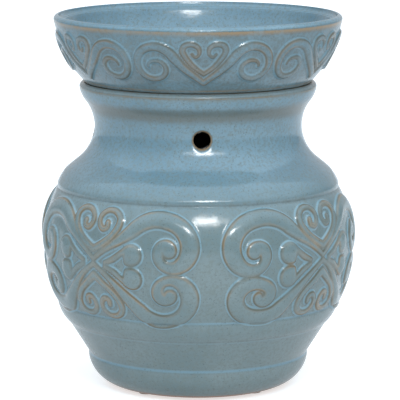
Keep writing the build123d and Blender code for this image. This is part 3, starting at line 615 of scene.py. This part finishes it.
def warmer_body_skin(material):
    """The whole body with its inside, embossed belly, vents and cord hole."""
    corners = BODY_LOWER + BODY_LEDGE + BODY_BELLY + BODY_UPPER + BODY_INSIDE + BODY_UNDER
    outline = Outline(corners, closed=True)
    ledge = len(BODY_LOWER)
    groove = ledge + len(BODY_LEDGE) + len(BODY_BELLY)
    rim = groove + len(BODY_UPPER) - 1
    floor = rim + len(BODY_INSIDE)
    lower = outline.rows(0, ledge, PLAIN_STEP, TURN_STEP)[:-1]
    embossed = outline.rows(ledge, groove, RELIEF_STEP)
    upper = outline.rows(groove, rim, PLAIN_STEP, TURN_STEP)[1:]
    within = outline.rows(rim, floor, INSIDE_STEP, TURN_STEP)[1:]
    under = outline.rows(floor, len(corners), 2 * INSIDE_STEP, TURN_STEP)[1:-1]

    spots = outline.at(embossed, outline.points)
    along = pattern(MEDALLION_PAIRS, ORNAMENT_TURN) * ALONG_PER_DEGREE
    u, v = np.meshgrid(along, spots[:, 1] - MEDALLION_Z)
    depths, widths = inside(medallion_pair(), u, v)
    edge = np.minimum(spots[:, 1] - OVERHANG_Z, BODY_UPPER[0][1] - spots[:, 1])
    depths = np.minimum(depths, edge[:, None])
    heights = relief_height(depths, widths)

    skin = Skin()
    rings = [plain_ring(skin, outline, row) for row in lower]
    first_upper = len(rings) + len(embossed)
    rings += relief_rings(skin, outline, embossed, depths, heights)
    rings += [plain_ring(skin, outline, row) for row in upper]
    first_inside = len(rings)
    rings += [plain_ring(skin, outline, row, INSIDE_COLUMNS) for row in within]
    first_under = len(rings)
    rings += [plain_ring(skin, outline, row, INSIDE_COLUMNS) for row in under]
    points = np.vstack(skin.points)
    skip = {}

    def open_block(low, high, bearing):
        """Leaves a block of faces out and returns the points round it."""
        count = len(rings[low])
        for i in range(low, high):
            taken = skip.setdefault(i, set())
            taken |= {c % count for c in range(*block_columns(count, bearing))}
        return block_loop(rings, low, high, bearing)

    def outer_neck(z):
        return outline.radius_at(groove, rim, z)

    def inner_neck(z):
        return outline.radius_at(rim, floor, z)

    room_out, room_in = VENT_ROOM
    neck_out = rows_round(rings, points, first_upper, first_inside, VENT_Z - room_out, VENT_Z + room_out)
    neck_in = rows_round(rings, points, first_inside, first_under, VENT_Z - room_in, VENT_Z + room_in)
    for bearing in VENT_BEARINGS:
        outer = open_block(*neck_out, bearing)
        inner = open_block(*neck_in, bearing)
        cut_vent(skin, points, outer, inner, bearing, outer_neck, inner_neck)

    low, high = GROMMET_POINT[1] - GROMMET_ROOM, GROMMET_POINT[1] + GROMMET_ROOM
    rise = -GROMMET_WALL * GROMMET_OUT[1]
    cone_out = rows_round(rings, points, 0, len(lower), low, high)
    cone_in = rows_round(rings, points, first_inside, first_under, low + rise, high + rise)
    outer = open_block(*cone_out, CORD_BEARING)
    inner = open_block(*cone_in, CORD_BEARING)
    cut_cord_hole(skin, points, outer, inner)

    for i, (a, b) in enumerate(zip(rings, rings[1:] + rings[:1])):
        skin.join(a, b, skip.get(i, ()))
    return skin.piece("body_glazed", material)


def dish_strokes():
    """The strokes of one sixth of the dish: a heart, and a coil on each side that meets its neighbour."""
    band = scroll((0.0, 6.0), 2.1, 42, (22.3, 14.2), 152, -1,
                  (10.5, 9.4, 7.0, 6.3, 5.6, 2.8, 2.2), (2.8, 2.4, 2.1, 1.8, 1.6, 1.2, 1.0))
    lobe = line((0.0, 10.8, 1.5), (4.2, 14.3, 1.6), (7.5, 18.6, 1.7), (9.0, 22.0, 1.8), (7.8, 24.4, 1.8),
                (4.8, 24.9, 1.7), (2.3, 23.2, 1.5), (2.1, 20.4, 1.2), (3.7, 19.0, 1.1), (5.0, 20.4, 1.1))
    return [band, flip(band, along=-1.0), lobe, flip(lobe, along=-1.0)]


def dish_skin(material):
    """The dish with its embossed side and smooth bowl."""
    corners = DISH_UNDER + DISH_SIDE + DISH_LIP + DISH_BOWL
    outline = Outline(corners, closed=False)
    side = len(DISH_UNDER)
    lip = side + len(DISH_SIDE)
    bowl = lip + len(DISH_LIP)
    below = outline.rows(0, side, 2 * INSIDE_STEP, TURN_STEP)[:-1]
    embossed = outline.rows(side, lip, RELIEF_STEP)
    edge = outline.rows(lip, bowl, PLAIN_STEP, TURN_STEP)[1:]
    within = outline.rows(bowl, len(corners) - 1, INSIDE_STEP, TURN_STEP)[1:]
    spots = outline.at(embossed, outline.points)
    along = np.radians(pattern(DISH_HEARTS, DISH_TURN)) * DISH_FLAT_R
    up = outline.at(embossed, outline.length)
    u, v = np.meshgrid(along, up - up[0])
    depths, widths = inside(dish_strokes(), u, v)
    depths = np.minimum(depths, np.minimum(v, up[-1] - up[0] - v))
    heights = relief_height(depths, widths)
    skin = Skin()
    rings = [plain_ring(skin, outline, row) for row in below]
    rings += relief_rings(skin, outline, embossed, depths, heights, DISH_THIN)
    rings += [plain_ring(skin, outline, row) for row in (*edge, *within)]
    for a, b in zip(rings, rings[1:]):
        skin.join(a, b)
    return skin.piece("dish_glazed", material)


# Materials: screen colours, noise (scale, detail, roughness), spans, parts in the mix, bump (strength, depth)
BELLY_TONES = ((105, 122, 124), (118, 132, 133))
NECK_TONES = ((102, 130, 142), (114, 140, 151))
NECK_START = (0.082, 0.108)
CLOUD_NOISE = (28.0, 4.0, 0.6)
CLOUD_SPAN = (0.35, 0.68)
MOTTLE_NOISE = (700.0, 3.0, 0.65)
MOTTLE_SPAN = (0.42, 0.68)
MOTTLE_TONE = (107, 117, 112)
MOTTLE_PART = 0.6
SPECK_NOISE = (1300.0, 2.0, 0.7)
SPECK_SPAN = (0.59, 0.74)
SPECK_TONE = (76, 86, 84)
SPECK_PART = 0.7
PATCH_NOISE = (75.0, 3.0, 0.6)
PATCH_SPAN = (0.35, 0.6)

# Glaze and painted shade on the relief. A line is its depth inside a band's edge, and how far off it is full
# and ends
RUST_NOISE = (60.0, 2.0)
RUST_SPAN = (0.46, 0.62)
RUST_TONES = ((110, 104, 88), (154, 119, 74))
RUST_LINE = (1.0, 0.1, 0.9)
RUST_WANDER = (0.3, 0.7, -0.35, 0.35)
RUST_THIN = (0.35, 0.65, 0.35, 1.0)
RUST_PART = 0.75
# The dark olive line on the step of each band's edge is painted shade there, mixed with glaze that breaks
# darker on the edge.
EDGE_GLAZE_AND_SHADE_LINE = (0.7, 0.1, 0.45)
EDGE_GLAZE_AND_SHADE_TONE = (84, 86, 76)
EDGE_GLAZE_AND_SHADE_PARTS = (0.25, 0.65)
POOL_LINE = (0.0, 0.12, 0.5)
POOL_TONE = (124, 157, 170)
POOL_FADE = (0.11, 0.13)
POOL_PARTS = (0.6, 0.35)

# Glaze and painted shade at the marked corners, in bands of height (start, full, fade, end, part), and the
# glaze's end above the foot. A low mark paints shade in dark grey in the groove under the shoulder and at the
# foot of the moulding, a high one is brown glaze that runs thin on edges, and a negative one is pale glaze
# pooled in a crease; the band under the lip is painted shade.
MARK_SPAN = (0.1, 0.9)
MARK_UNEVEN = (0.3, 0.7, -0.08, 0.04)
# Dark grey for painted shade at low marks, brown for glaze that runs thin at high ones.
SHADE_AND_BROWN_TONES = ((84, 91, 88), (146, 118, 82))
SHADE_TO_BROWN = (0.5, 1.0)
SHADE_AND_BROWN_PARTS = (0.45, 0.9)
CREASE_TONE = (118, 152, 168)
CREASE_PART = 0.55
# A dark grey band on the neck just under the lip is painted shade under the lip's overhang.
UNDER_LIP_SHADE_BAND = (0.1225, 0.1265, 0.1285, 0.132, 0.7)
UNDER_LIP_SHADE_TONE = (98, 98, 88)
LIP_BAND = (0.133, 0.136, 0.1378, 0.139, 0.4)
LIP_BAND_TONE = (116, 112, 98)
CLAY_TOP = (0.0014, 0.0028)
CLAY_TONE = (168, 112, 78)
GLOSS = (0.3, 0.8, 0.12, 0.19)
RIPPLE_NOISE = (260.0, 2.0)
RIPPLE_BUMP = (0.12, 0.0004)

# Small parts, where the noise is (detail, roughness) and each material has its own scale
TARNISH_NOISE = (4.0, 0.6)
TARNISH_SPAN = (0.4, 0.7)
TARNISH_DULL = (0.3, 0.75)
TARNISH_ROUGH = 0.18
SCRATCHES_FINER = 6.0
SCRATCHES_DETAIL = 2.0
SCRATCHES_BUMP = (0.15, 0.0001)
GRAIN_NOISE = (3.0, 0.65)
GRAIN_SPAN = (0.3, 0.7)
GRAIN_ROUGH = 0.08
GRAIN_BUMP = (0.25, 0.0002)
GLASS_TINT = (0.97, 0.99, 0.99, 1.0)
GLASS_INDEX = 1.47
HAZE_SCALE = 90.0
HAZE_SPAN = (0.4, 0.8)


class Nodes:
    """A material's node tree with short calls."""

    def __init__(self, name):
        self.material = bpy.data.materials.new(name)
        self.material.use_nodes = True
        self.tree = self.material.node_tree
        self.shader = self.tree.nodes["Principled BSDF"]
        self.place = self.make("ShaderNodeTexCoord").outputs["Object"]

    def make(self, kind, **settings):
        """A new node."""
        made = self.tree.nodes.new(kind)
        for key, value in settings.items():
            setattr(made, key, value)
        return made

    def put(self, socket, value):
        """Links a socket to an output, or sets its value."""
        if isinstance(value, bpy.types.NodeSocket):
            self.tree.links.new(value, socket)
        else:
            socket.default_value = value

    def set(self, **values):
        """Sets inputs of the surface shader."""
        for key, value in values.items():
            self.put(self.shader.inputs[key.replace("_", " ")], value)

    def noise(self, scale, detail=3.0, rough=0.55):
        """Noise from 0 to 1 in the object's own space."""
        made = self.make("ShaderNodeTexNoise")
        self.put(made.inputs["Vector"], self.place)
        self.put(made.inputs["Scale"], scale)
        self.put(made.inputs["Detail"], detail)
        self.put(made.inputs["Roughness"], rough)
        return made.outputs["Fac"]

    def math(self, operation, a, b=0.0):
        """One operation on one or two values."""
        made = self.make("ShaderNodeMath", operation=operation)
        self.put(made.inputs[0], a)
        self.put(made.inputs[1], b)
        return made.outputs[0]

    def ramp(self, value, low, high, out_low=0.0, out_high=1.0):
        """A smooth step from one output to the other between two values."""
        made = self.make("ShaderNodeMapRange", interpolation_type="SMOOTHSTEP")
        for socket, item in zip(made.inputs, (value, low, high, out_low, out_high)):
            self.put(socket, item)
        return made.outputs[0]

    def mix(self, part, a, b):
        """A blend of two colours."""
        made = self.make("ShaderNodeMix", data_type="RGBA")
        self.put(made.inputs["Factor"], part)
        self.put(made.inputs["A"], a)
        self.put(made.inputs["B"], b)
        return made.outputs["Result"]

    def named(self, label):
        """A value that the points of the mesh carry."""
        return self.make("ShaderNodeAttribute", attribute_name=label).outputs["Fac"]

    def bump(self, height, strength, distance):
        """Fine unevenness of the surface."""
        made = self.make("ShaderNodeBump")
        self.put(made.inputs["Height"], height)
        self.put(made.inputs["Strength"], strength)
        self.put(made.inputs["Distance"], distance)
        self.put(self.shader.inputs["Normal"], made.outputs["Normal"])


def colour(red, green, blue):
    """Linear colour from the 0 to 255 values of a screen colour."""
    return tuple((c / 255.0 / 12.92 if c <= 10 else ((c / 255.0 + 0.055) / 1.055) ** 2.4)
                 for c in (red, green, blue)) + (1.0,)


def glaze():
    """Reactive glaze: grey blue, brown where it runs thin on edges, pale blue where it pools, with painted
    shade in dark grey in the groove under the shoulder, under the lip and along the relief's edges.
    """
    n = Nodes("glaze_reactive")
    depth = n.named("relief")
    mark = n.named("mark")
    split = n.make("ShaderNodeSeparateXYZ")
    n.put(split.inputs[0], n.place)
    up = split.outputs["Z"]
    cloud = n.ramp(n.noise(*CLOUD_NOISE), *CLOUD_SPAN)
    patch = n.noise(*PATCH_NOISE)
    fine = n.noise(*MOTTLE_NOISE)
    grain = n.noise(*SPECK_NOISE)

    def tones(part, pair):
        """A blend of two screen colours."""
        return n.mix(part, colour(*pair[0]), colour(*pair[1]))

    def patchy(parts):
        """A part that varies with the patches."""
        return n.ramp(patch, *PATCH_SPAN, *parts)

    def near(value, middle, full, end):
        """1 up to full from the middle, falling to 0 at end."""
        off = n.math("ABSOLUTE", n.math("SUBTRACT", value, middle))
        return n.ramp(off, full, end, 1.0, 0.0)

    def band(start, full, fade, end, part):
        """A part that fades in and out with height."""
        return n.math("MULTIPLY", n.ramp(up, start, full), n.ramp(up, fade, end, part, 0.0))

    tone = n.mix(n.ramp(up, *NECK_START), tones(cloud, BELLY_TONES), tones(cloud, NECK_TONES))
    tone = n.mix(n.ramp(fine, *MOTTLE_SPAN, 0.0, MOTTLE_PART), tone, colour(*MOTTLE_TONE))

    wander = n.math("ADD", depth, n.ramp(patch, *RUST_WANDER))
    thin = n.ramp(patch, *RUST_THIN)
    rust_part = n.math("MULTIPLY", near(wander, *RUST_LINE), thin)
    rust = tones(n.ramp(n.noise(*RUST_NOISE), *RUST_SPAN), RUST_TONES)
    tone = n.mix(n.math("MULTIPLY", rust_part, RUST_PART), tone, rust)
    # Dark olive line on the relief's step: painted shade with darker glaze.
    edge_glaze_and_shade_part = n.math("MULTIPLY", near(depth, *EDGE_GLAZE_AND_SHADE_LINE), patchy(EDGE_GLAZE_AND_SHADE_PARTS))
    tone = n.mix(edge_glaze_and_shade_part, tone, colour(*EDGE_GLAZE_AND_SHADE_TONE))

    uneven = n.math("ADD", mark, n.ramp(fine, *MARK_UNEVEN))
    # Painted shade in dark grey at low marks, brown thin glaze at high ones.
    shade_and_brown_part = n.math("MULTIPLY", n.ramp(uneven, *MARK_SPAN), patchy(SHADE_AND_BROWN_PARTS))
    tone = n.mix(shade_and_brown_part, tone, tones(n.ramp(mark, *SHADE_TO_BROWN), SHADE_AND_BROWN_TONES))
    pool_part = n.math("MULTIPLY", near(depth, *POOL_LINE), n.ramp(up, *POOL_FADE, *POOL_PARTS))
    tone = n.mix(pool_part, tone, colour(*POOL_TONE))
    crease = n.ramp(n.math("MULTIPLY", mark, -1.0), *MARK_SPAN)
    tone = n.mix(n.math("MULTIPLY", crease, CREASE_PART), tone, colour(*CREASE_TONE))

    # Painted shade under the lip.
    tone = n.mix(band(*UNDER_LIP_SHADE_BAND), tone, colour(*UNDER_LIP_SHADE_TONE))
    tone = n.mix(band(*LIP_BAND), tone, colour(*LIP_BAND_TONE))
    tone = n.mix(n.ramp(grain, *SPECK_SPAN, 0.0, SPECK_PART), tone, colour(*SPECK_TONE))
    tone = n.mix(n.ramp(up, *CLAY_TOP, 1.0, 0.0), tone, colour(*CLAY_TONE))
    n.set(Base_Color=tone, Roughness=n.ramp(fine, *GLOSS))
    n.bump(n.noise(*RIPPLE_NOISE), *RIPPLE_BUMP)
    return n.material


def metal(name, bright, dull, rough, scale):
    """Plated or pressed metal with slight tarnish and fine scratches."""
    n = Nodes(name)
    stain = n.noise(scale, *TARNISH_NOISE)
    n.set(Base_Color=n.mix(n.ramp(stain, *TARNISH_SPAN), colour(*bright), colour(*dull)), Metallic=1.0,
          Roughness=n.ramp(stain, *TARNISH_DULL, rough, rough + TARNISH_ROUGH))
    n.bump(n.noise(scale * SCRATCHES_FINER, SCRATCHES_DETAIL), *SCRATCHES_BUMP)
    return n.material


def soft(name, light, dark, rough, scale):
    """Rubber, moulded plastic, pad or insulator with a fine grain."""
    n = Nodes(name)
    grain = n.noise(scale, *GRAIN_NOISE)
    n.set(Base_Color=n.mix(grain, colour(*dark), colour(*light)),
          Roughness=n.ramp(grain, *GRAIN_SPAN, rough - GRAIN_ROUGH, rough + GRAIN_ROUGH))
    n.bump(grain, *GRAIN_BUMP)
    return n.material


def glass(name, rough):
    """Clear glass with a faint haze."""
    n = Nodes(name)
    haze = n.ramp(n.noise(HAZE_SCALE), *HAZE_SPAN, 0.0, rough)
    n.set(Base_Color=GLASS_TINT, Transmission_Weight=1.0, IOR=GLASS_INDEX, Roughness=haze)
    return n.material


glazed = glaze()
slots = {
    "rubber": soft("rubber_black", (44, 44, 46), (26, 26, 28), 0.62, 900.0),
    "pad": soft("pad_soft", (206, 203, 194), (176, 172, 162), 0.45, 500.0),
    "zinc_steel": metal("zinc_plated", (196, 198, 202), (150, 150, 148), 0.28, 260.0),
    "brass": metal("brass_pressed", (214, 178, 104), (164, 128, 70), 0.24, 240.0),
    "moulded_plastic": soft("phenolic_black", (40, 39, 38), (22, 22, 22), 0.4, 700.0),
    "cap_metal": metal("cap_rolled", (206, 206, 208), (166, 165, 164), 0.22, 300.0),
    "solder": metal("solder_dull", (176, 178, 180), (132, 132, 132), 0.42, 900.0),
    "dark_glass": soft("insulator_glass", (26, 26, 30), (12, 12, 14), 0.16, 400.0),
    "clear_glass": glass("bulb_clear", 0.04),
    "wire": metal("wire_drawn", (150, 146, 140), (104, 100, 96), 0.3, 800.0),
}
for subpart in frame["record"]["subparts"]:
    if subpart["material_slot"] in slots:
        mesh = frame["nodes"][subpart["node"]].data
        mesh.materials.clear()
        mesh.materials.append(slots[subpart["material_slot"]])

body = warmer_body_skin(glazed)
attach(body, "warmer")
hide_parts("warmer_body")
dish = dish_skin(glazed)
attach(dish, "dish")
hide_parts("melt_dish")

# Floor, lights and camera
floor_mesh = bpy.data.meshes.new("floor")
sides = ((-1, -1), (1, -1), (1, 1), (-1, 1))
floor_mesh.from_pydata([(x * FLOOR_HALF, y * FLOOR_HALF, 0.0) for x, y in sides], [], [(0, 1, 2, 3)])
floor = bpy.data.objects.new("floor", floor_mesh)
bpy.context.collection.objects.link(floor)
paper = Nodes("paper_white")
fleck = paper.mix(paper.noise(FLOOR_FLECK), *FLOOR_TONES)
paper.set(Base_Color=fleck, Roughness=FLOOR_ROUGH)
ray = paper.make("ShaderNodeLightPath").outputs["Is Camera Ray"]
glow = paper.ramp(ray, 0.0, 1.0, FLOOR_BOUNCE, FLOOR_GLOW)
paper.set(Emission_Color=WHITE, Emission_Strength=glow)
floor_mesh.materials.append(paper.material)


def area_light(name, azimuth, elevation, distance, width, height, power):
    """A soft box that looks at the object; azimuth 0 is in front and grows to the right."""
    lamp = bpy.data.lights.new(name, "AREA")
    lamp.shape = "RECTANGLE"
    lamp.size = width
    lamp.size_y = height
    lamp.energy = power
    obj = bpy.data.objects.new(name, lamp)
    bpy.context.collection.objects.link(obj)
    a = math.radians(azimuth)
    e = math.radians(elevation)
    away = np.array((math.sin(a) * math.cos(e), -math.cos(a) * math.cos(e), math.sin(e)))
    obj.location = np.array(LIGHT_TARGET) + away * distance
    obj.rotation_euler = Vector(-away).to_track_quat("-Z", "Y").to_euler()


area_light("key_soft_box", *KEY_BOX)
area_light("window_strip", *WINDOW_STRIP)

world = bpy.data.worlds.new("studio")
bpy.context.scene.world = world
world.use_nodes = True
sky = world.node_tree
background = sky.nodes["Background"]
paths = sky.nodes.new("ShaderNodeLightPath")
bearing = sky.nodes.new("ShaderNodeTexCoord")
towards = sky.nodes.new("ShaderNodeVectorMath")
towards.operation = "DOT_PRODUCT"
towards.inputs[1].default_value = SWEEP_TOWARDS
height = sky.nodes.new("ShaderNodeSeparateXYZ")
edge = sky.nodes.new("ShaderNodeMapRange")
rise = sky.nodes.new("ShaderNodeMapRange")
for made, (low, high) in ((edge, SWEEP_EDGE), (rise, ROOM_RISE)):
    made.interpolation_type = "SMOOTHSTEP"
    made.inputs["From Min"].default_value = low
    made.inputs["From Max"].default_value = high
room = sky.nodes.new("ShaderNodeMix")
light = sky.nodes.new("ShaderNodeMix")
seen = sky.nodes.new("ShaderNodeMix")
for made in (room, light, seen):
    made.data_type = "RGBA"
room.inputs["A"].default_value = ROOM_LOW
room.inputs["B"].default_value = ROOM_HIGH
light.inputs["B"].default_value = SWEEP_LIGHT
seen.inputs["B"].default_value = WHITE
for source, target in (
    (bearing.outputs["Generated"], towards.inputs[0]),
    (bearing.outputs["Generated"], height.inputs[0]),
    (towards.outputs["Value"], edge.inputs["Value"]),
    (height.outputs["Z"], rise.inputs["Value"]),
    (rise.outputs["Result"], room.inputs["Factor"]),
    (room.outputs["Result"], light.inputs["A"]),
    (paths.outputs["Is Camera Ray"], seen.inputs["Factor"]),
    (edge.outputs["Result"], light.inputs["Factor"]),
    (light.outputs["Result"], seen.inputs["A"]),
    (seen.outputs["Result"], background.inputs["Color"]),
):
    sky.links.new(source, target)

lens = bpy.data.cameras.new("camera")
lens.sensor_width = CAMERA_SENSOR
lens.lens = CAMERA_LENS
lens.shift_x = CAMERA_SHIFT
lens.clip_end = CAMERA_CLIP
camera = bpy.data.objects.new("camera", lens)
bpy.context.collection.objects.link(camera)
yaw = math.radians(CAMERA_YAW)
reach = CAMERA_DISTANCE * MM
camera.location = (-reach * math.sin(yaw), -reach * math.cos(yaw), CAMERA_HEIGHT * MM)
camera.rotation_euler = (math.radians(90.0 - CAMERA_PITCH), 0.0, -yaw)
bpy.context.scene.camera = camera
bpy.context.scene.view_settings.view_transform = "Standard"
